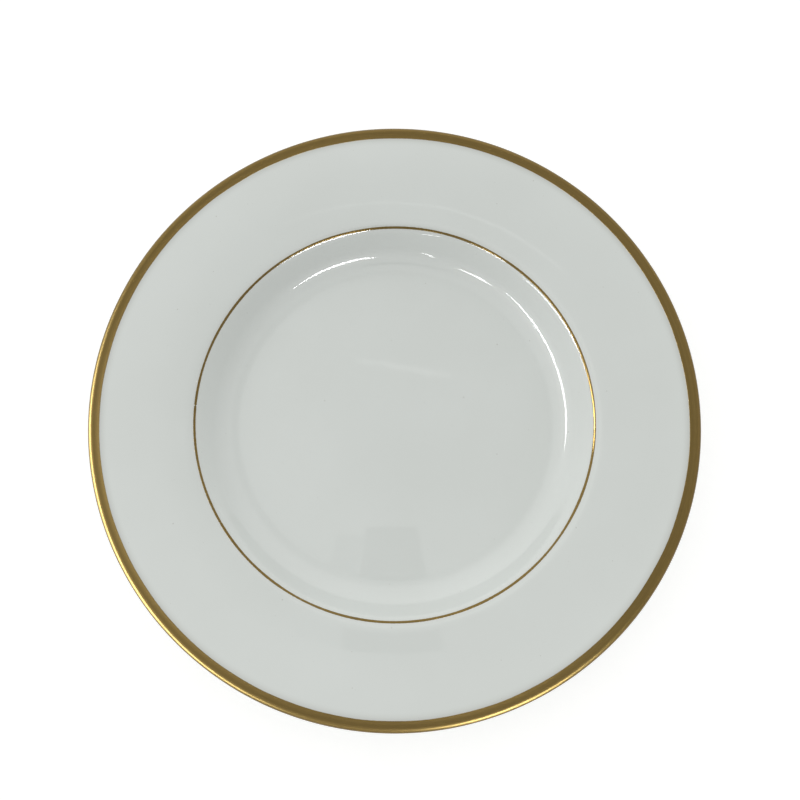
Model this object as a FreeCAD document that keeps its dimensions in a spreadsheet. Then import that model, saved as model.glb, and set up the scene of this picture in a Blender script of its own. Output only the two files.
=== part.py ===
"""A 270 mm china dinner plate with a gilded lip and a gilded line at the verge.

The plate is one fired china body that carries two separate glaze films, parted by the bare
contact edge of the foot ring, and two fired gold films that lie on the face glaze:

    china_body        rim, well and foot ring, turned as one piece
    face_glaze        the film over the face, the lip and the back, down to the foot ring
    foot_recess_glaze the film inside the foot ring
    rim_gold_band     the broad gold band, wrapped round the lip
    verge_gold_line   the thin gold line where the rim turns down into the well

Frame: millimetres, +Z up, the origin at the centre of the foot ring's contact plane.
"""

import FreeCAD
import Part
import Sketcher
import math
import os

DRIVING_DIMENSIONS = {
    # overall
    "plate_diameter": 270.0,
    "glaze_film": 0.2,
    "gold_film": 0.15,
    # well, on the china under the glaze
    "floor_height": 5.9,
    "well_corner_radius": 77.9,
    "well_round": 16.0,
    # verge, where the well's wall turns into the rim
    "verge_radius": 89.0,
    "verge_height": 18.7,
    "verge_round": 9.6,
    # rim, a low crowned cone
    "rim_middle_radius": 111.5,
    "rim_middle_height": 21.6,
    "rim_crown": 360.0,
    # lip, turned up a little from the rim
    "lip_root_radius": 130.9,
    "lip_root_height": 22.2,
    "lip_root_round": 14.0,
    "lip_height": 23.0,
    "lip_thickness": 3.0,
    "lip_top_round": 1.8,
    "lip_under_round": 0.8,
    # underside
    "rim_thickness": 3.4,
    "under_verge_radius": 92.2,
    "under_verge_height": 15.2,
    "under_verge_round": 5.6,
    # foot ring
    "foot_outer_radius": 77.1,
    "foot_inner_radius": 73.6,
    "foot_root_radius": 77.9,
    "foot_root_height": 2.6,
    "foot_root_round": 3.0,
    "foot_edge_round": 0.8,
    "foot_inner_lean": 0.8,
    "recess_height": 2.6,
    "recess_round": 1.6,
    "foot_bare_height": 0.7,
    # gilding
    "band_width": 5.5,
    "band_wrap": 0.5,
    "line_radius": 89.0,
    "line_width": 1.0,
}

# The turned outline, as its sharp corners: name, radius, height and rounding, each an expression.
LIP_RADIUS = "Sizes.plate_diameter / 2 - Sizes.glaze_film - Sizes.gold_film"
LIP_UNDER_HEIGHT = "Sizes.lip_height - Sizes.lip_thickness"
CORNERS = (
    ("floor_centre", "0", "Sizes.floor_height", None),
    ("well", "Sizes.well_corner_radius", "Sizes.floor_height", "Sizes.well_round"),
    ("verge", "Sizes.verge_radius", "Sizes.verge_height", "Sizes.verge_round"),
    ("rim_middle", "Sizes.rim_middle_radius", "Sizes.rim_middle_height", "Sizes.rim_crown"),
    ("lip_root", "Sizes.lip_root_radius", "Sizes.lip_root_height", "Sizes.lip_root_round"),
    ("lip_top", LIP_RADIUS, "Sizes.lip_height", "Sizes.lip_top_round"),
    ("lip_under", LIP_RADIUS, LIP_UNDER_HEIGHT, "Sizes.lip_under_round"),
    (
        "rim_back",
        "Sizes.rim_middle_radius",
        "Sizes.rim_middle_height - Sizes.rim_thickness",
        "Sizes.rim_crown",
    ),
    (
        "under_verge",
        "Sizes.under_verge_radius",
        "Sizes.under_verge_height",
        "Sizes.under_verge_round",
    ),
    ("foot_root", "Sizes.foot_root_radius", "Sizes.foot_root_height", "Sizes.foot_root_round"),
    ("foot_outer", "Sizes.foot_outer_radius", "0", "Sizes.foot_edge_round"),
    ("foot_inner", "Sizes.foot_inner_radius", "0", "Sizes.foot_edge_round"),
    (
        "recess",
        "Sizes.foot_inner_radius - Sizes.foot_inner_lean",
        "Sizes.recess_height",
        "Sizes.recess_round",
    ),
    ("recess_centre", "0", "Sizes.recess_height", None),
)

# how the sketcher numbers a line's ends and its own axes
START, END = 1, 2
ORIGIN, VERTICAL_AXIS = -1, -2

FULL_TURN = 360.0
SAME_POINT = 1e-6
MM3_PER_CM3 = 1000
ZONE_MARGIN = "10"


def add_sheet(doc):
    """The spreadsheet of driving dimensions, one named cell each."""
    sheet = doc.addObject("Spreadsheet::Sheet", "Sizes")
    for row, (alias, value) in enumerate(DRIVING_DIMENSIONS.items(), start=1):
        sheet.set(f"A{row}", alias)
        sheet.set(f"B{row}", str(value))
        sheet.setAlias(f"B{row}", alias)
    doc.recompute()
    return sheet


def value_of(sketch, expression):
    """What an expression gives, in millimetres."""
    result = sketch.evalExpression(expression)
    return float(getattr(result, "Value", result))


def fillet(before, corner, after, radius):
    """The arc of this radius that rounds a corner between two straight sides."""
    toward_before = (before - corner).normalize()
    toward_after = (after - corner).normalize()
    half_angle = toward_before.getAngle(toward_after) / 2
    tangent_length = radius / math.tan(half_angle)
    start = corner + toward_before * tangent_length
    end = corner + toward_after * tangent_length
    bisector = (toward_before + toward_after).normalize()
    middle = corner + bisector * (radius / math.sin(half_angle) - radius)
    return Part.Arc(start, middle, end), start, end


def place_point(sketch, geometry, position, x_expression, y_expression):
    """Dimensions one point of the sketch from its origin."""
    for kind, expression in (("DistanceX", x_expression), ("DistanceY", y_expression)):
        measure = value_of(sketch, expression)
        if expression == "0":
            axis = VERTICAL_AXIS if kind == "DistanceX" else ORIGIN
            sketch.addConstraint(Sketcher.Constraint("PointOnObject", geometry, position, axis))
            continue
        index = sketch.addConstraint(
            Sketcher.Constraint(kind, ORIGIN, START, geometry, position, measure)
        )
        sketch.setExpression(f"Constraints[{index}]", expression)


def draw_outline(sketch):
    """A closed outline of straight sides, each corner rounded and dimensioned by its sharp point."""
    corners = [
        FreeCAD.Vector(value_of(sketch, x), value_of(sketch, y), 0) for _, x, y, _ in CORNERS
    ]
    count = len(CORNERS)
    arcs = {}
    for i, (_, _, _, rounding) in enumerate(CORNERS):
        if rounding is not None:
            before, after = corners[i - 1], corners[(i + 1) % count]
            arcs[i] = fillet(before, corners[i], after, value_of(sketch, rounding))
    sides = []
    for i in range(count):
        following = (i + 1) % count
        start = arcs[i][2] if i in arcs else corners[i]
        end = arcs[following][1] if following in arcs else corners[following]
        sides.append(sketch.addGeometry(Part.LineSegment(start, end), False))
    for i, (_, x, y, rounding) in enumerate(CORNERS):
        incoming, outgoing = sides[i - 1], sides[i]
        if rounding is None:
            sketch.addConstraint(Sketcher.Constraint("Coincident", incoming, END, outgoing, START))
            place_point(sketch, outgoing, START, x, y)
            continue
        arc_shape, arc_start, _ = arcs[i]
        arc = sketch.addGeometry(arc_shape, False)
        drawn_forward = sketch.getPoint(arc, START).isEqual(arc_start, SAME_POINT)
        first, last = (START, END) if drawn_forward else (END, START)
        sketch.addConstraint(Sketcher.Constraint("Tangent", incoming, END, arc, first))
        sketch.addConstraint(Sketcher.Constraint("Tangent", arc, last, outgoing, START))
        radius = sketch.addConstraint(
            Sketcher.Constraint("Radius", arc, value_of(sketch, rounding))
        )
        sketch.setExpression(f"Constraints[{radius}]", rounding)
        sharp = sketch.addGeometry(Part.Point(corners[i]), True)
        sketch.addConstraint(Sketcher.Constraint("PointOnObject", sharp, START, incoming))
        sketch.addConstraint(Sketcher.Constraint("PointOnObject", sharp, START, outgoing))
        place_point(sketch, sharp, START, x, y)


def make_china_body(doc):
    """The fired china, turned about Z from its outline."""
    body = doc.addObject("PartDesign::Body", "china_body")
    outline = body.newObject("Sketcher::SketchObject", "outline")
    plane = next(f for f in body.Origin.OriginFeatures if f.Role == "XZ_Plane")
    outline.AttachmentSupport = (plane, [""])
    outline.MapMode = "FlatFace"
    doc.recompute()
    draw_outline(outline)
    doc.recompute()
    turned = body.newObject("PartDesign::Revolution", "turned_outline")
    turned.Profile = (outline, [""])
    turned.ReferenceAxis = (outline, ["V_Axis"])
    turned.Angle = FULL_TURN
    doc.recompute()
    return body, outline


def make_skin(doc, name, source, thickness, filled):
    """The outline grown outward, as a wire or as the ring between it and its source."""
    skin = doc.addObject("Part::Offset2D", name)
    skin.Source = source
    skin.Mode = "Pipe"
    skin.Join = "Arc"
    skin.Fill = filled
    skin.setExpression("Value", thickness)
    return skin


def make_zone(doc, name, inner, outer, low, high):
    """A box that picks the part of a skin between two radii and two heights."""
    zone = doc.addObject("Part::Box", name)
    zone.setExpression("Length", f"{outer} - ({inner})")
    zone.setExpression("Height", f"{high} - ({low})")
    zone.setExpression("Placement.Base.x", inner)
    zone.setExpression("Placement.Base.z", low)
    zone.setExpression("Width", ZONE_MARGIN)
    zone.setExpression("Placement.Base.y", f"-{ZONE_MARGIN} / 2")
    return zone


def combine(doc, kind, name, base, tool):
    """A Part::Common or Part::Cut of two objects."""
    result = doc.addObject(kind, name)
    result.Base = base
    result.Tool = tool
    return result


def turn(doc, name, section):
    """A film, turned about Z from its section."""
    film = doc.addObject("Part::Revolution", name)
    film.Source = section
    film.Axis = (0, 0, 1)
    film.Base = (0, 0, 0)
    film.Angle = FULL_TURN
    film.Solid = True
    return film


def make_glaze_films(doc, outline):
    """The two glaze films, which stop short of the foot ring's bare contact edge."""
    skin = make_skin(doc, "glaze_skin", outline, "Sizes.glaze_film", True)
    foot_middle = "(Sizes.foot_outer_radius + Sizes.foot_inner_radius) / 2"
    china_middle = "(Sizes.floor_height + Sizes.recess_height) / 2"
    outside = f"Sizes.plate_diameter / 2 + {ZONE_MARGIN}"
    above = f"Sizes.lip_height + {ZONE_MARGIN}"
    bare = "Sizes.foot_bare_height"
    whole_zone = make_zone(doc, "glazed_zone", "0", outside, bare, above)
    recess_zone = make_zone(doc, "recess_zone", "0", foot_middle, bare, china_middle)
    whole = combine(doc, "Part::Common", "glazed_section", skin, whole_zone)
    face = combine(doc, "Part::Cut", "face_section", whole, recess_zone)
    recess = combine(doc, "Part::Common", "recess_section", skin, recess_zone)
    return [turn(doc, "face_glaze", face), turn(doc, "foot_recess_glaze", recess)]


def make_gold_films(doc, outline):
    """The gold band round the lip and the gold line at the verge, both on top of the glaze."""
    glazed = make_skin(doc, "glazed_outline", outline, "Sizes.glaze_film", False)
    skin = make_skin(doc, "gold_skin", glazed, "Sizes.gold_film", True)
    outside = f"Sizes.plate_diameter / 2 + {ZONE_MARGIN}"
    above = f"Sizes.lip_height + {ZONE_MARGIN}"
    band_zone = make_zone(
        doc,
        "band_zone",
        "Sizes.plate_diameter / 2 - Sizes.band_width",
        outside,
        f"{LIP_UNDER_HEIGHT} + Sizes.band_wrap",
        above,
    )
    line_zone = make_zone(
        doc,
        "line_zone",
        "Sizes.line_radius - Sizes.line_width / 2",
        "Sizes.line_radius + Sizes.line_width / 2",
        "Sizes.under_verge_height + Sizes.glaze_film",
        above,
    )
    band = combine(doc, "Part::Common", "band_section", skin, band_zone)
    line = combine(doc, "Part::Common", "line_section", skin, line_zone)
    return [turn(doc, "rim_gold_band", band), turn(doc, "verge_gold_line", line)]


def check(doc, pieces):
    """Stops the build if any object failed or any piece isn't one valid solid."""
    for item in doc.Objects:
        if {"Invalid", "Error"} & set(item.State):
            raise RuntimeError(f"{item.Name} failed: {item.State}")
    for piece in pieces:
        shape = piece.Shape
        if shape.isNull() or not shape.isValid() or len(shape.Solids) != 1:
            raise RuntimeError(f"{piece.Label} isn't one valid solid")
        if shape.Volume <= 0:
            raise RuntimeError(f"{piece.Label} has no volume")


def export(pieces):
    """Writes each piece to parts/NAME.step."""
    os.makedirs("parts", exist_ok=True)
    for piece in pieces:
        piece.Shape.exportStep(f"parts/{piece.Label}.step")
        box = piece.Shape.optimalBoundingBox()
        print(
            f"{piece.Label}: {piece.Shape.Volume / MM3_PER_CM3:.3f} cm3, "
            f"{box.XLength:.2f} x {box.YLength:.2f} x {box.ZLength:.2f} mm from z {box.ZMin:.2f}"
        )


def main():
    doc = FreeCAD.newDocument("dinner_plate")
    add_sheet(doc)
    body, outline = make_china_body(doc)
    pieces = [body, *make_glaze_films(doc, outline), *make_gold_films(doc, outline)]
    doc.recompute()
    check(doc, pieces)
    export(pieces)


main()
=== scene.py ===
"""The looks of a gilded china dinner plate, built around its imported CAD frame.

Every piece is turned about Z from one outline, the china's own, so the layers lie on each other:
the bisque body, the glaze over it, and the fired gold over the glaze. Lengths are named in
millimetres and become metres where a mesh is made.
"""

import math

import bpy
import numpy as np
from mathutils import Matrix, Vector, noise


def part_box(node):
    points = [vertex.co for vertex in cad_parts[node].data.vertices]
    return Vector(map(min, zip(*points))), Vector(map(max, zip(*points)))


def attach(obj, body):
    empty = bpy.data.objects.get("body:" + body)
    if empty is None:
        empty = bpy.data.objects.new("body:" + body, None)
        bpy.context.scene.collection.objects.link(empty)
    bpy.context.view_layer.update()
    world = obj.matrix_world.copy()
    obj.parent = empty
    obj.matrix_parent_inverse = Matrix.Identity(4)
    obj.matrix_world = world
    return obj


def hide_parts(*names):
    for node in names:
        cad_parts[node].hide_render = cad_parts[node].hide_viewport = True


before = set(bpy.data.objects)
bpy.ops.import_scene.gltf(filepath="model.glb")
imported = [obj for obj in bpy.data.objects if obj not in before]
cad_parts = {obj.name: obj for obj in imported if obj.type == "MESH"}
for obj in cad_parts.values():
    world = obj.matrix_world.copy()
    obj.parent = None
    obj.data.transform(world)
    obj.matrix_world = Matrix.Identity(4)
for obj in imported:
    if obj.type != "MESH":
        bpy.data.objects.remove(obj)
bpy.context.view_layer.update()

MM = 0.001
TURN = 2 * math.pi

# --- sizes, in millimetres -----------------------------------------------------------------------


def reach_of(node):
    """The largest radius of a CAD node, along X."""
    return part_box(node)[1].x / MM


LIP_RADIUS = reach_of("china_body")
GLAZE = reach_of("face_glaze") - LIP_RADIUS
BARE_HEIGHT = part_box("foot_recess_glaze")[0].z / MM
LINE_OUTER = reach_of("verge_gold_line")

FLOOR_HEIGHT = 5.9
WELL_CORNER, WELL_ROUND = 77.9, 16.0
VERGE_RADIUS, VERGE_HEIGHT, VERGE_ROUND = 89.0, 18.7, 9.6
RIM_MIDDLE, RIM_MIDDLE_HEIGHT, RIM_CROWN = 111.5, 21.6, 360.0
LIP_ROOT, LIP_ROOT_HEIGHT, LIP_ROOT_ROUND = 130.9, 22.2, 14.0
LIP_CORNER, LIP_THICKNESS, LIP_TOP_ROUND, LIP_UNDER_ROUND = 23.0, 3.0, 1.8, 0.8
RIM_THICKNESS = 3.4
UNDER_VERGE, UNDER_VERGE_HEIGHT, UNDER_VERGE_ROUND = 92.2, 15.2, 5.6
FOOT_ROOT, FOOT_ROOT_HEIGHT, FOOT_ROOT_ROUND = 77.9, 2.6, 3.0
FOOT_OUTER, FOOT_INNER, FOOT_EDGE_ROUND = 77.1, 73.6, 0.8
RECESS_RADIUS, RECESS_HEIGHT, RECESS_ROUND = 72.8, 2.6, 1.6

# The gilding: how far the band goes past the lip's outermost point, and the films' thickness.
BAND_WIDTH = 5.5
BAND_WRAP = 1.2
LINE_WIDTH = 1.0
GOLD, GOLD_EDGE = 0.06, 0.02

# The china's outline, as its sharp corners: radius, height and rounding.
OUTLINE_CORNERS = (
    (0.0, FLOOR_HEIGHT, 0.0),
    (WELL_CORNER, FLOOR_HEIGHT, WELL_ROUND),
    (VERGE_RADIUS, VERGE_HEIGHT, VERGE_ROUND),
    (RIM_MIDDLE, RIM_MIDDLE_HEIGHT, RIM_CROWN),
    (LIP_ROOT, LIP_ROOT_HEIGHT, LIP_ROOT_ROUND),
    (LIP_RADIUS, LIP_CORNER, LIP_TOP_ROUND),
    (LIP_RADIUS, LIP_CORNER - LIP_THICKNESS, LIP_UNDER_ROUND),
    (RIM_MIDDLE, RIM_MIDDLE_HEIGHT - RIM_THICKNESS, RIM_CROWN),
    (UNDER_VERGE, UNDER_VERGE_HEIGHT, UNDER_VERGE_ROUND),
    (FOOT_ROOT, FOOT_ROOT_HEIGHT, FOOT_ROOT_ROUND),
    (FOOT_OUTER, 0.0, FOOT_EDGE_ROUND),
    (FOOT_INNER, 0.0, FOOT_EDGE_ROUND),
    (RECESS_RADIUS, RECESS_HEIGHT, RECESS_ROUND),
    (0.0, RECESS_HEIGHT, 0.0),
)

# --- the outline ---------------------------------------------------------------------------------


class Outline:
    """A chain of straight sides and rounded corners, read by its length from the first point."""

    FINE_STEP = 0.05
    ARC_STEP = math.radians(0.5)
    FEWEST_ARC_STEPS = 4

    def __init__(self, corners):
        points, normals = [], []
        count = len(corners)
        for i, (radius, height, rounding) in enumerate(corners):
            corner = np.array((radius, height))
            if rounding == 0.0:
                beside = corners[1] if i == 0 else corners[count - 2]
                along = (np.array(beside[:2]) - corner) * (1 if i == 0 else -1)
                points.append(corner)
                normals.append(self.left_of(along))
                continue
            arc_points, arc_normals = self.round_off(corners[i - 1], corners[i], corners[i + 1])
            points.extend(arc_points)
            normals.extend(arc_normals)
        self.points = np.array(points)
        self.normals = np.array(normals)
        steps = np.linalg.norm(np.diff(self.points, axis=0), axis=1)
        self.lengths = np.concatenate(([0.0], np.cumsum(steps)))
        self.length = self.lengths[-1]

    @staticmethod
    def left_of(direction):
        """The outward normal of a stretch that runs in this direction."""
        along = direction / np.linalg.norm(direction)
        return np.array((-along[1], along[0]))

    def round_off(self, before, corner, after):
        """Points and normals along the arc that rounds a corner."""
        middle, rounding = np.array(corner[:2]), corner[2]
        incoming = middle - np.array(before[:2])
        outgoing = np.array(after[:2]) - middle
        first, last = self.left_of(incoming), self.left_of(outgoing)
        turn = math.atan2(first[0] * last[1] - first[1] * last[0], first @ last)
        side = -1 if turn < 0 else 1
        bisector = (first + last) / np.linalg.norm(first + last)
        centre = middle + side * bisector * rounding / math.cos(turn / 2)
        count = max(self.FEWEST_ARC_STEPS, math.ceil(abs(turn) / self.ARC_STEP))
        start = math.atan2(first[1], first[0])
        angles = start + turn * np.arange(count + 1) / count
        normals = np.stack((np.cos(angles), np.sin(angles)), axis=1)
        return centre - side * rounding * normals, normals

    def at(self, length):
        """Points and unit normals at lengths along the outline."""
        points = np.stack([np.interp(length, self.lengths, c) for c in self.points.T], axis=-1)
        normals = np.stack([np.interp(length, self.lengths, c) for c in self.normals.T], axis=-1)
        return points, normals / np.linalg.norm(normals, axis=-1, keepdims=True)

    def find(self, axis, value, begin, end):
        """The length between begin and end where the radius (0) or height (1) passes a value."""
        lengths = np.arange(begin, end, self.FINE_STEP)
        reached = self.at(lengths)[0][:, axis] - value
        crossing = np.nonzero(np.diff(np.sign(reached)))[0][0]
        return lengths[crossing] + self.FINE_STEP / 2

    def rows(self, begin, end, flat_step, turn_step):
        """Lengths to place rows at: close together where the outline turns, wider on the flat."""
        fine = np.arange(begin, end, self.FINE_STEP)
        normals = self.at(fine)[1]
        angles = np.unwrap(np.arctan2(normals[:, 1], normals[:, 0]))
        cost = self.FINE_STEP / flat_step + np.abs(np.diff(angles)) / turn_step
        total = np.concatenate(([0.0], np.cumsum(cost)))
        count = max(2, round(total[-1]))
        chosen = np.interp(np.linspace(0, total[-1], count + 1), total, fine)
        chosen[-1] = end
        return chosen


outline = Outline(OUTLINE_CORNERS)
PAST_THE_LIP, PAST_THE_FOOT = 40.0, 2.0
LIP_AT = outline.lengths[np.argmax(outline.points[:, 0])]
FOOT_AT = outline.find(1, BARE_HEIGHT, LIP_AT + PAST_THE_LIP, outline.length)
RECESS_AT = outline.find(1, BARE_HEIGHT, FOOT_AT + PAST_THE_FOOT, outline.length)

# --- what firing does to a turned form ------------------------------------------------------------

SETTLE, SETTLE_SPAN = 0.025, 34.0
RIPPLE, RIPPLE_SPAN = 0.006, 9.0
CENTRE_RING, CENTRE_RING_WIDTH, CENTRE_RING_HEIGHT = 27.0, 1.5, 0.012
STILL_BELOW, FREE_ABOVE = 0.8, 3.5
# The rim's droop, and how it varies round the plate: share, waves and phase of each lobe.
DROOP, DROOP_EVEN = 0.16, 0.5
DROOP_LOBES = ((0.35, 2, 0.9), (0.15, 3, 2.1))


def settle(points, normals):
    """Moves china points, in millimetres, as firing does: uneven by hundredths, the rim low."""
    moved = points.copy()
    radius = np.hypot(points[:, 0], points[:, 1])
    angle = np.arctan2(points[:, 1], points[:, 0])
    free = np.clip((points[:, 2] - STILL_BELOW) / (FREE_ABOVE - STILL_BELOW), 0, 1)
    wander = np.array([noise.noise(Vector(p) / SETTLE_SPAN) for p in points])
    ripple = np.array([noise.noise(Vector(p) / RIPPLE_SPAN) for p in points])
    inward = SETTLE * (wander - 1) + RIPPLE * (ripple - 1)
    ring = CENTRE_RING_HEIGHT * np.exp(-(((radius - CENTRE_RING) / CENTRE_RING_WIDTH) ** 2))
    moved += normals * ((inward + ring * (normals[:, 2] > 0)) * free)[:, None]
    out_along_rim = np.clip((radius - VERGE_RADIUS) / (LIP_RADIUS - VERGE_RADIUS), 0, 1)
    lobes = DROOP_EVEN
    for share, waves, phase in DROOP_LOBES:
        lobes = lobes + share * np.sin(waves * angle + phase)
    moved[:, 2] -= DROOP * out_along_rim**2 * lobes
    return moved


# --- meshes --------------------------------------------------------------------------------------

AT_AXIS = 1e-6


def turned_points(lengths, angles, offset):
    """Points at outline lengths (rows x angles), raised off the china by offset, in millimetres."""
    flat, normals = outline.at(lengths)
    cos, sin = np.cos(angles)[None, :], np.sin(angles)[None, :]

    def turned(pairs):
        """Radius and height pairs, turned to their angles."""
        x, y, z = pairs[..., 0] * cos, pairs[..., 0] * sin, pairs[..., 1] + 0 * cos
        return np.stack((x, y, z), axis=-1).reshape(-1, 3)

    base, out = turned(flat), turned(normals)
    raised = settle(base, out) + out * np.broadcast_to(offset, lengths.shape).reshape(-1, 1)
    return raised.reshape(*lengths.shape, 3)


def make_piece(name, points, faces, material, replaced):
    """An object of these points, in millimetres, that stands for a CAD node and rides the plate."""
    mesh = bpy.data.meshes.new(name)
    mesh.from_pydata((points * MM).tolist(), [], faces)
    mesh.validate()
    mesh.polygons.foreach_set("use_smooth", [True] * len(mesh.polygons))
    mesh.materials.append(material)
    piece = bpy.data.objects.new(name, mesh)
    bpy.context.scene.collection.objects.link(piece)
    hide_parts(replaced)
    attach(piece, "root")
    return piece


def ring_faces(first_row, last_row, count):
    """The quads between two rings of count points each, by the number of their first points."""
    along = np.arange(count)
    following = (along + 1) % count
    quads = (first_row + along, last_row + along, last_row + following, first_row + following)
    return np.stack(quads, axis=1).tolist()


def turned_shell(outer_rows, inner_rows, outer_offset, inner_offset, segments):
    """A closed shell about Z: the outer skin, then back along the inner one, joined at both ends.

    Rows are outline lengths, one number for a plain ring or one for each angle. An end whose radius
    is zero closes in a single point of each skin.
    """
    angles = np.arange(segments) * TURN / segments
    points, faces, rings = [], [], []
    total = 0
    skins = ((outer_rows, outer_offset), (inner_rows[::-1], inner_offset))
    for rows, offset in skins:
        lengths = np.broadcast_to(rows[:, None] if rows.ndim == 1 else rows, (len(rows), segments))
        offsets = offset if np.ndim(offset) == 0 else offset[:, None]
        placed = turned_points(lengths, angles, offsets)
        for ring in placed:
            at_axis = np.hypot(ring[0, 0], ring[0, 1]) < AT_AXIS
            kept = ring[:1] if at_axis else ring
            points.append(kept)
            rings.append((total, at_axis))
            total += len(kept)
    count = len(rings)
    for i in range(count):
        (start, start_axis), (end, end_axis) = rings[i], rings[(i + 1) % count]
        if start_axis and end_axis:
            continue
        if start_axis:
            faces += [(start, end + k, end + (k + 1) % segments) for k in range(segments)]
        elif end_axis:
            faces += [(start + k, end, start + (k + 1) % segments) for k in range(segments)]
        else:
            faces += ring_faces(start, end, segments)
    return np.concatenate(points), faces


def wander(angles, waves, seed, smallest=3):
    """A smooth closed random line about zero, of the given number of waves round the plate."""
    draw = np.random.default_rng(seed)
    line = np.zeros_like(angles)
    for wave in range(smallest, waves + 1):
        size = draw.normal() / math.sqrt(waves)
        line += size * np.sin(wave * angles + draw.uniform(0, TURN))
    return line


def film_rows(begin, end, count):
    """Outline lengths across a brushed film at each angle, from inner edge to outer edge."""
    across = 0.5 - 0.5 * np.cos(np.linspace(0, math.pi, count))
    return begin[None, :] + across[:, None] * (end - begin)[None, :]


# --- node helpers --------------------------------------------------------------------------------


class Nodes:
    """A material's node tree, with one short call for each kind of node."""

    def __init__(self, name):
        self.material = bpy.data.materials.new(name)
        self.material.use_nodes = True
        self.tree = self.material.node_tree
        self.shader = self.tree.nodes["Principled BSDF"]

    def add(self, kind, inputs=(), **settings):
        """A node of a kind, with its settings and its inputs, each a value or another's output."""
        node = self.tree.nodes.new(kind)
        for key, value in settings.items():
            setattr(node, key, value)
        for key, value in dict(inputs).items():
            self.put(node.inputs[key], value)
        return node

    def put(self, socket, value):
        """Links an output to a socket, or sets the socket's value."""
        if isinstance(value, bpy.types.NodeSocket):
            self.tree.links.new(value, socket)
        else:
            socket.default_value = value

    def set(self, **inputs):
        """Sets or links the shader's inputs, their names written with underscores."""
        for key, value in inputs.items():
            self.put(self.shader.inputs[key.replace("_", " ")], value)

    def place(self):
        """The point's place in the plate's own frame, in metres."""
        return self.add("ShaderNodeTexCoord").outputs["Object"]

    def maths(self, operation, first, second=0.0):
        """One sum of two values, each a number or another node's output."""
        return self.add("ShaderNodeMath", {0: first, 1: second}, operation=operation).outputs[0]

    def mixed(self, *shares):
        """The sum of several values, each times its own share."""
        parts = [self.maths("MULTIPLY", value, share) for value, share in shares]
        total = parts[0]
        for part in parts[1:]:
            total = self.maths("ADD", total, part)
        return total

    def stretched(self, vector, scale, turned=0.0):
        """A vector scaled along its axes, after a turn about Z."""
        inputs = {"Vector": vector, "Scale": scale, "Rotation": (0, 0, turned)}
        return self.add("ShaderNodeMapping", inputs).outputs[0]

    def noise(self, vector, scale, detail=2.0, roughness=0.5):
        """A smooth random value, about a half."""
        inputs = {"Vector": vector, "Scale": scale, "Detail": detail, "Roughness": roughness}
        return self.add("ShaderNodeTexNoise", inputs).outputs[0]

    def spread(self, value, low, high, new_low=0.0, new_high=1.0):
        """Values from low to high, carried to a new range and held there."""
        inputs = {0: value, 1: low, 2: high, 3: new_low, 4: new_high}
        return self.add("ShaderNodeMapRange", inputs, clamp=True).outputs[0]

    def blend(self, share, first, second):
        """A colour between two colours."""
        node = self.add("ShaderNodeMix", data_type="RGBA")
        self.put(node.inputs[0], share)
        for socket, value in ((node.inputs[6], first), (node.inputs[7], second)):
            self.put(socket, value)
        return node.outputs[2]

    def bump(self, height, strength, distance):
        """A normal that leans as this height would make it."""
        inputs = {"Height": height, "Strength": strength, "Distance": distance}
        return self.add("ShaderNodeBump", inputs).outputs[0]

    def from_axis(self, parts):
        """How far a point, given as its three parts, is from the plate's axis."""
        squares = [self.maths("POWER", parts[i], 2.0) for i in (0, 1)]
        return self.maths("SQRT", self.maths("ADD", *squares))

    def round_the_plate(self, vector, along, across):
        """A vector for streaks that run round the plate: slow along them and quick across them."""
        parts = self.add("ShaderNodeSeparateXYZ", {0: vector}).outputs
        radius = self.from_axis(parts)
        unit_x = self.maths("DIVIDE", parts[0], radius)
        unit_y = self.maths("DIVIDE", parts[1], radius)
        inputs = {
            0: self.maths("MULTIPLY", unit_x, along),
            1: self.maths("MULTIPLY", unit_y, along),
            2: self.mixed((radius, across), (parts[2], across)),
        }
        return self.add("ShaderNodeCombineXYZ", inputs).outputs[0]


# --- materials -----------------------------------------------------------------------------------

CHINA_WHITE = (0.745, 0.781, 0.760, 1.0)
CHINA_SHADE = (0.730, 0.765, 0.742, 1.0)
CHINA_CLOUD = 22.0
GLAZE_HAZE, HAZE_LOW, HAZE_HIGH = 60.0, 0.32, 0.40
GLAZE_PEEL, PEEL_STRENGTH, PEEL_DEPTH = 160.0, 0.03, 0.0002
GLAZE_IOR, GLAZE_SHINE, BODY_SHINE = 1.5, 0.035, 0.25

# Specks: spacing and largest size in millimetres, share of the grid's cells, strength and turn.
SPECK_BROWN = (0.20, 0.16, 0.11, 1.0)
LARGE_SPECKS = (16.0, 0.36, 0.35, 0.22, 0.0)
SMALL_SPECKS = (7.0, 0.20, 0.35, 0.14, 0.7)

# Scratches: the way each set runs, in radians, and how much of it is missing.
SCRATCH_SETS = ((0.35, 0.60), (1.25, 0.62), (2.3, 0.62))
SCRATCH_GRAIN, SCRATCH_BREAKS = (40, 2600, 40), (90, 160, 90)
SCRATCH_WIDTH, SCRATCH_FADE = 0.006, 0.05
SCRATCH_ROUGHNESS, SCRATCH_STRENGTH, SCRATCH_DEPTH = 0.2, 0.10, 0.00002

# Painted shade beside the gilding, this far off it in millimetres: it stands for the photo's blur.
GILT_SHADE = (0.38, 0.37, 0.33, 1.0)
BAND_SHADE, LINE_SHADE = 3.6, 3.0
SHADE_AT_BAND, LINE_SHADE_SHARE = 0.40, 0.35

BISQUE_WHITE = (0.62, 0.60, 0.55, 1.0)
BISQUE_WORN = (0.44, 0.41, 0.36, 1.0)
BISQUE_GRAIN, BISQUE_WEAR = 2600.0, 130.0
BISQUE_GROUND = (3.0, 9000.0)
BISQUE_STRENGTH, BISQUE_DEPTH = 0.5, 0.0001

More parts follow.
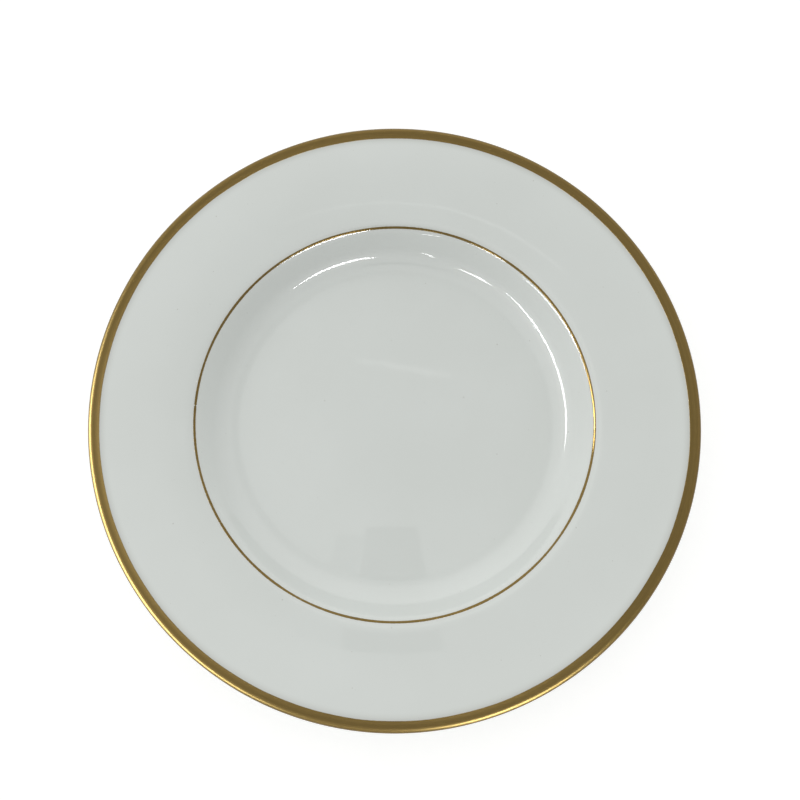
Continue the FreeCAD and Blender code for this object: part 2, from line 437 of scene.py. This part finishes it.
GOLD_BRIGHT = (0.190, 0.129, 0.044, 1.0)
GOLD_DULL = (0.142, 0.096, 0.032, 1.0)
GOLD_WORN = (0.12, 0.085, 0.040, 1.0)
STREAKS, LONG_STREAKS = (9.0, 5200.0), (2.5, 1500.0)
GOLD_MOTTLE, GOLD_RUB, RUB_STRENGTH, RUB_ROUGHNESS = 420.0, 95.0, 0.6, 0.1
STREAK_STRENGTH, STREAK_DEPTH = 0.12, 0.00003
ACROSS_THE_STROKE = 0.25
BAND_ROUGHNESS, BAND_ROUGHNESS_RANGE = 0.31, 0.05
LINE_ROUGHNESS, LINE_ROUGHNESS_RANGE = 0.10, 0.03


def specks(nodes, place, spacing, largest, share, strength, turned):
    """Tiny dots scattered over the surface: one in some of the cells of a grid this far apart."""
    inputs = {"Vector": nodes.stretched(place, (1, 1, 1), turned), "Scale": 1 / (spacing * MM)}
    cells = nodes.add("ShaderNodeTexVoronoi", inputs, voronoi_dimensions="2D")
    chance = nodes.add("ShaderNodeSeparateColor", {0: cells.outputs["Color"]}).outputs
    size = nodes.spread(chance[0], 1 - share, 1.0, 0.0, largest / spacing)
    inside = nodes.maths("LESS_THAN", cells.outputs["Distance"], size)
    return nodes.maths("MULTIPLY", inside, strength)


def scratches(nodes, place, turned, missing):
    """Hairline cutlery marks that run one way, each broken off after a short stretch."""
    lines = nodes.noise(nodes.stretched(place, SCRATCH_GRAIN, turned), 1.0, 0.0)
    from_middle = nodes.maths("ABSOLUTE", nodes.maths("SUBTRACT", lines, 0.5))
    thin = nodes.spread(from_middle, 0.0, SCRATCH_WIDTH, 1.0, 0.0)
    breaks = nodes.noise(nodes.stretched(place, SCRATCH_BREAKS, turned), 1.0, 1.0)
    broken = nodes.spread(breaks, missing, missing + SCRATCH_FADE)
    return nodes.maths("MULTIPLY", thin, broken)


def gilding_shade(nodes, place):
    """Painted shade beside the gilding: most at its edge, gone a little way off."""
    radius = nodes.from_axis(nodes.add("ShaderNodeSeparateXYZ", {0: place}).outputs)
    band_edge = (reach_of("rim_gold_band") - BAND_WIDTH) * MM
    line_middle = (LINE_OUTER - LINE_WIDTH / 2) * MM
    to_line = nodes.maths("ABSOLUTE", nodes.maths("SUBTRACT", radius, line_middle))
    by_band = nodes.spread(radius, band_edge - BAND_SHADE * MM, band_edge)
    by_line = nodes.spread(to_line, LINE_SHADE * MM, LINE_WIDTH / 2 * MM)
    by_band = nodes.maths("POWER", by_band, 2.0)
    by_line = nodes.maths("MULTIPLY", nodes.maths("POWER", by_line, 2.0), LINE_SHADE_SHARE)
    return nodes.maths("MULTIPLY", nodes.maths("MAXIMUM", by_band, by_line), SHADE_AT_BAND)


def make_glaze():
    """Clear glaze over white china: soft cool white, sharply glossy, with specks and fine wear."""
    nodes = Nodes("clear_glaze")
    place = nodes.place()
    cloud = nodes.spread(nodes.noise(place, CHINA_CLOUD, 3.0), 0.35, 0.65)
    white = nodes.blend(cloud, CHINA_WHITE, CHINA_SHADE)
    large = specks(nodes, place, *LARGE_SPECKS)
    small = specks(nodes, place, *SMALL_SPECKS)
    toned = nodes.blend(nodes.maths("MAXIMUM", large, small), white, SPECK_BROWN)
    # The glaze's colour carries painted shade beside the band and the line.
    nodes.set(Base_Color=nodes.blend(gilding_shade(nodes, place), toned, GILT_SHADE))
    first, *others = SCRATCH_SETS
    marks = scratches(nodes, place, *first)
    for other in others:
        marks = nodes.maths("MAXIMUM", marks, scratches(nodes, place, *other))
    haze = nodes.spread(nodes.noise(place, GLAZE_HAZE, 2.0), 0.3, 0.7, HAZE_LOW, HAZE_HIGH)
    marred = nodes.maths("MULTIPLY", marks, SCRATCH_ROUGHNESS)
    nodes.set(Roughness=nodes.maths("ADD", haze, marred))
    fine = nodes.bump(nodes.noise(place, GLAZE_PEEL, 1.0), PEEL_STRENGTH, PEEL_DEPTH)
    inputs = {"Height": marks, "Strength": SCRATCH_STRENGTH, "Distance": SCRATCH_DEPTH}
    cut = nodes.add("ShaderNodeBump", {**inputs, "Normal": fine}, invert=True).outputs[0]
    nodes.set(Normal=cut, Coat_Normal=cut)
    nodes.set(IOR=GLAZE_IOR, Specular_IOR_Level=BODY_SHINE)
    nodes.set(Coat_Weight=1.0, Coat_Roughness=GLAZE_SHINE, Coat_IOR=GLAZE_IOR)
    return nodes.material


def make_bisque():
    """Bare fired china, ground flat where the plate stands and greyed there by use."""
    nodes = Nodes("bare_bisque")
    place = nodes.place()
    grain = nodes.noise(place, BISQUE_GRAIN, 3.0)
    worn = nodes.spread(nodes.noise(place, BISQUE_WEAR, 3.0), 0.42, 0.62)
    nodes.set(Base_Color=nodes.blend(worn, BISQUE_WHITE, BISQUE_WORN))
    ground = nodes.noise(nodes.round_the_plate(place, *BISQUE_GROUND), 1.0, 2.0)
    height = nodes.mixed((grain, 0.6), (ground, 0.4))
    nodes.set(Roughness=nodes.spread(grain, 0.3, 0.7, 0.75, 0.92))
    nodes.set(Normal=nodes.bump(height, BISQUE_STRENGTH, BISQUE_DEPTH), Specular_IOR_Level=0.35)
    return nodes.material


def make_gold(name, rough, rough_range):
    """Fired gold brushed on round the plate: satin, streaked along the stroke, worn in places."""
    nodes = Nodes(name)
    place = nodes.place()
    streaks = nodes.noise(nodes.round_the_plate(place, *STREAKS), 1.0, 3.0, 0.6)
    long_streaks = nodes.noise(nodes.round_the_plate(place, *LONG_STREAKS), 1.0, 2.0)
    mottle = nodes.noise(place, GOLD_MOTTLE, 3.0)
    tone = nodes.mixed((streaks, 0.45), (long_streaks, 0.35), (mottle, 0.20))
    gold = nodes.blend(nodes.spread(tone, 0.36, 0.64), GOLD_DULL, GOLD_BRIGHT)
    rubbed = nodes.spread(nodes.noise(place, GOLD_RUB, 4.0, 0.6), 0.66, 0.74)
    bare = nodes.maths("MULTIPLY", rubbed, RUB_STRENGTH)
    nodes.set(Base_Color=nodes.blend(bare, gold, GOLD_WORN))
    satin = nodes.spread(tone, 0.3, 0.7, rough + rough_range, rough - rough_range)
    dulled = nodes.maths("MULTIPLY", rubbed, RUB_ROUGHNESS)
    nodes.set(Roughness=nodes.maths("ADD", satin, dulled))
    nodes.set(Normal=nodes.bump(streaks, STREAK_STRENGTH, STREAK_DEPTH), Metallic=1.0)
    stroke = nodes.add("ShaderNodeTangent", direction_type="RADIAL", axis="Z").outputs[0]
    nodes.set(Tangent=stroke, Anisotropic=0.5, Anisotropic_Rotation=ACROSS_THE_STROKE)
    return nodes.material


# --- the plate's pieces --------------------------------------------------------------------------

SEGMENTS, FILM_SEGMENTS, LINE_SEGMENTS = 512, 1440, 2400
# Row spacing: millimetres where the outline is flat, and degrees where it turns.
FACE_ROWS, RECESS_ROWS, BODY_ROWS, HIDDEN_ROWS = (3.6, 4.2), (3.2, 5.0), (6.0, 6.0), (12.0, 12.0)
BAND_ROWS, LINE_ROWS, UNDER_FILM_ROWS = 22, 7, 3

# How far brushed edges wander, in millimetres: size, most waves round the plate, seed, fewest.
BAND_INNER_WANDER = ((0.05, 40, 5, 3), (0.02, 400, 6, 60))
BAND_OUTER_WANDER = ((0.12, 30, 7, 3),)
LINE_WANDER = ((0.04, 9, 11, 3),)
# The same for the line's width, as a share of it.
LINE_UNEVEN = ((0.10, 24, 12, 3), (0.05, 500, 13, 80))
LINE_SWELL, LINE_SWELL_AT = 0.12, 285.0
# Thin places in the line: angle and reach in degrees, and depth as a share of its width.
LINE_NICKS = ((176.0, 0.25, 0.8), (163.0, 0.2, 0.35), (118.0, 0.2, 0.3), (211.0, 0.2, 0.4))


def rows_between(begin, end, spacing):
    """Outline lengths for rows with this spacing, in millimetres and in degrees of turn."""
    flat_step, turn_step = spacing
    return outline.rows(begin, end, flat_step, math.radians(turn_step))


def make_glaze_pieces(material):
    """The film over the face, lip and back, and the film inside the foot ring."""
    face_outer = rows_between(0.0, FOOT_AT, FACE_ROWS)
    face_inner = rows_between(0.0, FOOT_AT, HIDDEN_ROWS)
    points, faces = turned_shell(face_outer, face_inner, GLAZE, 0.0, SEGMENTS)
    make_piece("glazed_face", points, faces, material, "face_glaze")
    recess_outer = rows_between(RECESS_AT, outline.length, RECESS_ROWS)
    recess_inner = rows_between(RECESS_AT, outline.length, HIDDEN_ROWS)
    points, faces = turned_shell(recess_outer, recess_inner, GLAZE, 0.0, SEGMENTS)
    make_piece("glazed_foot_recess", points, faces, material, "foot_recess_glaze")


def make_body(material):
    """The bisque body: one closed solid, seen only where the foot ring is left bare."""
    rows = rows_between(0.0, outline.length, BODY_ROWS)
    angles = np.arange(SEGMENTS) * TURN / SEGMENTS
    lengths = np.broadcast_to(rows[:, None], (len(rows), SEGMENTS))
    placed = turned_points(lengths, angles, 0.0)
    points = np.concatenate((placed[0, :1], placed[1:-1].reshape(-1, 3), placed[-1, :1]))
    last = len(points) - 1
    faces = [(0, 1 + k, 1 + (k + 1) % SEGMENTS) for k in range(SEGMENTS)]
    ring_count = len(rows) - 2
    for i in range(ring_count - 1):
        faces += ring_faces(1 + i * SEGMENTS, 1 + (i + 1) * SEGMENTS, SEGMENTS)
    start = 1 + (ring_count - 1) * SEGMENTS
    faces += [(start + k, last, start + (k + 1) % SEGMENTS) for k in range(SEGMENTS)]
    make_piece("bisque_body", points, faces, material, "china_body")


def make_film(name, replaced, begin, end, rows, material):
    """A thin brushed film between two wandering edges, thinnest at its edges."""
    outer = film_rows(begin, end, rows)
    inner = film_rows(begin, end, UNDER_FILM_ROWS)
    height = GLAZE + np.full(rows, GOLD)
    height[0] = height[-1] = GLAZE + GOLD_EDGE
    points, faces = turned_shell(outer, inner, height, GLAZE, len(begin))
    return make_piece(name, points, faces, material, replaced)


def pinch(angles, degrees, width_degrees):
    """One where the angle is this one, falling to zero at width to either side."""
    away = np.abs((angles - math.radians(degrees) + math.pi) % TURN - math.pi)
    return np.clip(1 - away / math.radians(width_degrees), 0, 1)


def summed_wander(angles, kinds):
    """The sum of several wandering lines about zero."""
    total = 0.0
    for size, waves, seed, smallest in kinds:
        total = total + size * wander(angles, waves, seed, smallest)
    return total


def make_gilding(band_gold, line_gold):
    """The band round the lip and the line at the verge, with the small faults of hand gilding.

    Gives back the lip's piece.
    """
    angles = np.arange(FILM_SEGMENTS) * TURN / FILM_SEGMENTS
    plate_radius = reach_of("rim_gold_band")
    inner_edge = outline.find(0, plate_radius - BAND_WIDTH, VERGE_RADIUS, LIP_AT)
    begin = inner_edge + summed_wander(angles, BAND_INNER_WANDER)
    end = LIP_AT + BAND_WRAP + summed_wander(angles, BAND_OUTER_WANDER)
    gilded_lip = make_film("gilded_lip", "rim_gold_band", begin, end, BAND_ROWS, band_gold)

    angles = np.arange(LINE_SEGMENTS) * TURN / LINE_SEGMENTS
    line_at = outline.find(0, LINE_OUTER - LINE_WIDTH / 2, WELL_CORNER, LIP_AT)
    middle = line_at + summed_wander(angles, LINE_WANDER)
    half = LINE_WIDTH / 2 * (1 + summed_wander(angles, LINE_UNEVEN))
    half *= 1 + LINE_SWELL * (0.5 + 0.5 * np.cos(angles - math.radians(LINE_SWELL_AT)))
    for degrees, width, depth in LINE_NICKS:
        half *= 1 - depth * pinch(angles, degrees, width)
    begin, end = middle - half, middle + half
    make_film("gilded_verge", "verge_gold_line", begin, end, LINE_ROWS, line_gold)
    return gilded_lip


# --- camera --------------------------------------------------------------------------------------

CAMERA_HEIGHT, CAMERA_BACK, CAMERA_TILT = 337.0, 61.0, 6.03
LENS, SENSOR = 32.76, 36.0
SHIFT = (0.0068, 0.1004)
CLIP_START = 0.01


def make_camera():
    """The camera: held over the plate's near side and tipped a little way forward."""
    camera = bpy.data.cameras.new("camera")
    camera.lens = LENS
    camera.sensor_width = SENSOR
    camera.shift_x, camera.shift_y = SHIFT
    camera.clip_start = CLIP_START
    holder = bpy.data.objects.new("camera", camera)
    holder.location = (0, -CAMERA_BACK * MM, CAMERA_HEIGHT * MM)
    holder.rotation_euler = (math.radians(CAMERA_TILT), 0, 0)
    bpy.context.scene.collection.objects.link(holder)
    bpy.context.scene.camera = holder


# --- light and floor -----------------------------------------------------------------------------

# The room's light, and how much more of it comes from one azimuth.
ROOM = 0.80
ROOM_LEAN, ROOM_LEAN_TOWARD = 0.38, 122.0
ROOM_TINT = (1.0, 1.0, 0.985, 1.0)

# The room as the gloss sees it, with the dim shape of a person who stands beside the plate.
CEILING_GLOSS, WALL_GLOSS, CEILING_POWER = 0.95, 1.08, 3.0
FIGURE_LEAN, FIGURE_TOWARD, FIGURE_DARK = 75.5, 62.0, 0.50
FIGURE_OUTSIDE, FIGURE_INSIDE = 17.0, 4.0

# Windows, for the gloss alone: name, radiance, and course by azimuth, elevation and half height.
WINDOW_DISTANCE, WINDOW_STEPS = 5.0, 64
WINDOWS = (
    (
        "window_left",
        26.0,
        (
            (157, 43, 0.5), (164, 43, 1.8), (190, 41.3, 2.1),
            (205, 39, 2.0), (214, 37.5, 1.4), (222, 36, 0.2),
        ),
    ),
    (
        "window_left_end",
        22.0,
        ((226.5, 46, 0.6), (231, 46, 2.6), (237, 46.5, 1.6), (242, 48, 0.4)),
    ),
    (
        "window_front",
        24.0,
        (
            (278, 48, 0.4), (284, 46, 1.9), (291, 45, 2.9),
            (300, 44.5, 2.5), (308, 45, 1.4), (316, 46, 0.2),
        ),
    ),
    (
        "window_chink",
        16.0,
        ((253.5, 37, 0.5), (256, 33, 1.6), (260, 29, 0.6)),
    ),
    (
        "ceiling_rail",
        0.80,
        ((71, 74.9, 0.15), (80, 75.1, 0.3), (88, 74.9, 0.25), (102, 74.0, 0.15)),
    ),
)
# Broad stand-ins for two windows, for the lip's gold alone: the narrow ones left it too dim.
LIP_GLOW = (0.90, 1.0, 1.10)
LIP_GLOWS = (
    (
        "lip_glow_left",
        11.0,
        (
            (148, 42, 1), (157, 42, 8), (167, 31, 18),
            (209, 30, 19), (222, 33, 15), (236, 36, 10),
            (241, 36, 2),
        ),
    ),
    (
        "lip_glow_front",
        11.0,
        ((281, 40, 2), (286, 36, 18), (302, 36, 17), (311, 42, 8), (318, 46, 2)),
    ),
)

FLOOR_GREYS = ((0.80, 0.80, 0.80, 1), (0.82, 0.82, 0.82, 1))
FLOOR_REACH, FLOOR_CLOUD, FLOOR_GLOW = 3.0, 3.0, 0.41

# Dark cards, for the gloss alone: near and far edges as (left, right, along), height and grey.
CAMERA_CARD = ((-31, 29, -75), (-25.5, 20, -33), 342, 0.02)
HAND_CARD = ((-58, -32, -70), (-53, -27, -40), 341, 0.45)


def toward(azimuth, elevation):
    """The unit vector towards an azimuth and elevation, in degrees."""
    a, e = math.radians(azimuth), math.radians(elevation)
    return Vector((math.cos(e) * math.cos(a), math.cos(e) * math.sin(a), math.sin(e)))


def glossy_only(thing):
    """Keeps a ribbon or a card for gloss alone."""
    thing.visible_camera = False
    thing.visible_diffuse = False
    thing.visible_shadow = False


def make_window(name, course, radiance, tint=(1.0, 1.0, 1.0), seen_by=None):
    """A long window, bright only to the gloss: a ribbon along its course, which hides nothing.

    It may be kept for the gloss of one piece alone.
    """
    nodes = Nodes(name)
    glow = nodes.add("ShaderNodeEmission", {"Color": (*tint, 1.0), "Strength": radiance}).outputs[0]
    clear = nodes.add("ShaderNodeBsdfTransparent").outputs[0]
    both = nodes.add("ShaderNodeAddShader", {0: glow, 1: clear}).outputs[0]
    nodes.put(nodes.tree.nodes["Material Output"].inputs["Surface"], both)
    azimuths, elevations, halves = (np.array(column, dtype=float) for column in zip(*course))
    fine = np.linspace(azimuths[0], azimuths[-1], WINDOW_STEPS)
    elevation = np.interp(fine, azimuths, elevations)
    half = np.interp(fine, azimuths, halves)
    lower = [toward(a, e - h) * WINDOW_DISTANCE for a, e, h in zip(fine, elevation, half)]
    upper = [toward(a, e + h) * WINDOW_DISTANCE for a, e, h in zip(fine, elevation, half)]
    count = len(fine)
    faces = [(i, i + 1, count + i + 1, count + i) for i in range(count - 1)]
    mesh = bpy.data.meshes.new(name)
    mesh.from_pydata(lower + upper, [], faces)
    mesh.materials.append(nodes.material)
    window = bpy.data.objects.new(name, mesh)
    glossy_only(window)
    bpy.context.scene.collection.objects.link(window)
    if seen_by is not None:
        receivers = bpy.data.collections.new(name)
        receivers.objects.link(seen_by)
        window.light_linking.receiver_collection = receivers


def make_windows(gilded_lip):
    """The windows that glance off the well and the verge, and broad ones for the lip's gold."""
    for name, radiance, course in WINDOWS:
        make_window(name, course, radiance)
    for name, radiance, course in LIP_GLOWS:
        make_window(name, course, radiance, LIP_GLOW, gilded_lip)


def make_world():
    """The room: pale light from all round, more of it from one side, and its look in the gloss."""
    world = bpy.data.worlds.new("room")
    world.use_nodes = True
    tree = world.node_tree
    background = tree.nodes["Background"]

    def maths(operation, first, second):
        """One sum of two values, each a number or another node's output."""
        node = tree.nodes.new("ShaderNodeMath")
        node.operation = operation
        for socket, value in zip(node.inputs, (first, second)):
            if isinstance(value, bpy.types.NodeSocket):
                tree.links.new(value, socket)
            else:
                socket.default_value = value
        return node.outputs[0]

    where = tree.nodes.new("ShaderNodeTexCoord").outputs["Generated"]
    parts = tree.nodes.new("ShaderNodeSeparateXYZ")
    tree.links.new(where, parts.inputs[0])
    side = toward(ROOM_LEAN_TOWARD, 0)
    along = maths("MULTIPLY", parts.outputs[0], side.x)
    along = maths("ADD", along, maths("MULTIPLY", parts.outputs[1], side.y))
    lean = maths("ADD", maths("MULTIPLY", along, ROOM_LEAN), 1.0)
    diffuse = maths("MULTIPLY", lean, ROOM)
    height = maths("POWER", maths("MAXIMUM", parts.outputs[2], 0.0), CEILING_POWER)
    gloss = maths("ADD", maths("MULTIPLY", height, CEILING_GLOSS - WALL_GLOSS), WALL_GLOSS)
    gloss = maths("MULTIPLY", gloss, lean)
    figure = toward(FIGURE_TOWARD, FIGURE_LEAN)
    nearness = maths("MULTIPLY", parts.outputs[0], figure.x)
    nearness = maths("ADD", nearness, maths("MULTIPLY", parts.outputs[1], figure.y))
    nearness = maths("ADD", nearness, maths("MULTIPLY", parts.outputs[2], figure.z))
    shade = tree.nodes.new("ShaderNodeMapRange")
    shade.interpolation_type = "SMOOTHSTEP"
    tree.links.new(nearness, shade.inputs[0])
    edges = [math.cos(math.radians(edge)) for edge in (FIGURE_OUTSIDE, FIGURE_INSIDE)]
    for index, value in enumerate((*edges, 1.0, 1 - FIGURE_DARK), start=1):
        shade.inputs[index].default_value = value
    gloss = maths("MULTIPLY", gloss, shade.outputs[0])
    path = tree.nodes.new("ShaderNodeLightPath")
    mixed = tree.nodes.new("ShaderNodeMix")
    tree.links.new(path.outputs["Is Glossy Ray"], mixed.inputs[0])
    tree.links.new(diffuse, mixed.inputs[2])
    tree.links.new(gloss, mixed.inputs[3])
    tree.links.new(mixed.outputs[0], background.inputs["Strength"])
    background.inputs["Color"].default_value = ROOM_TINT
    bpy.context.scene.world = world


def make_floor():
    """A plain pale floor with a glow of its own, so that it stays nearly white."""
    nodes = Nodes("pale_floor")
    place = nodes.place()
    cloud = nodes.spread(nodes.noise(place, FLOOR_CLOUD, 2.0), 0.3, 0.7)
    nodes.set(Base_Color=nodes.blend(cloud, *FLOOR_GREYS))
    nodes.set(Roughness=0.9, Specular_IOR_Level=0.1)
    nodes.set(Emission_Color=(1, 1, 1, 1), Emission_Strength=FLOOR_GLOW)
    mesh = bpy.data.meshes.new("floor")
    reach = FLOOR_REACH
    corners = [(-reach, -reach, 0), (reach, -reach, 0), (reach, reach, 0), (-reach, reach, 0)]
    mesh.from_pydata(corners, [], [(0, 1, 2, 3)])
    mesh.materials.append(nodes.material)
    floor = bpy.data.objects.new("floor", mesh)
    bpy.context.scene.collection.objects.link(floor)


def make_card(name, near, far, height, grey):
    """A dark card over the plate that only its gloss sees, as it would a camera held there.

    Its near and far edges are each given as their two ends across and their place along.
    """
    nodes = Nodes(name)
    nodes.set(Base_Color=(0, 0, 0, 1), Specular_IOR_Level=0.0)
    nodes.set(Emission_Color=(1, 1, 1, 1), Emission_Strength=grey)
    mesh = bpy.data.meshes.new(name)
    (near_left, near_right, near_y), (far_left, far_right, far_y) = near, far
    corners = [(near_left, near_y), (near_right, near_y), (far_right, far_y), (far_left, far_y)]
    corners = [(x, y, height) for x, y in corners]
    mesh.from_pydata((np.array(corners) * MM).tolist(), [], [(0, 1, 2, 3)])
    mesh.materials.append(nodes.material)
    card = bpy.data.objects.new(name, mesh)
    glossy_only(card)
    bpy.context.scene.collection.objects.link(card)


# --- the whole scene -----------------------------------------------------------------------------

make_camera()
make_glaze_pieces(make_glaze())
make_body(make_bisque())
gilded_lip = make_gilding(
    make_gold("band_gold", BAND_ROUGHNESS, BAND_ROUGHNESS_RANGE),
    make_gold("line_gold", LINE_ROUGHNESS, LINE_ROUGHNESS_RANGE),
)
make_windows(gilded_lip)
make_world()
make_floor()
make_card("camera_card", *CAMERA_CARD)
make_card("hand_card", *HAND_CARD)
bpy.context.scene.view_settings.view_transform = "Standard"
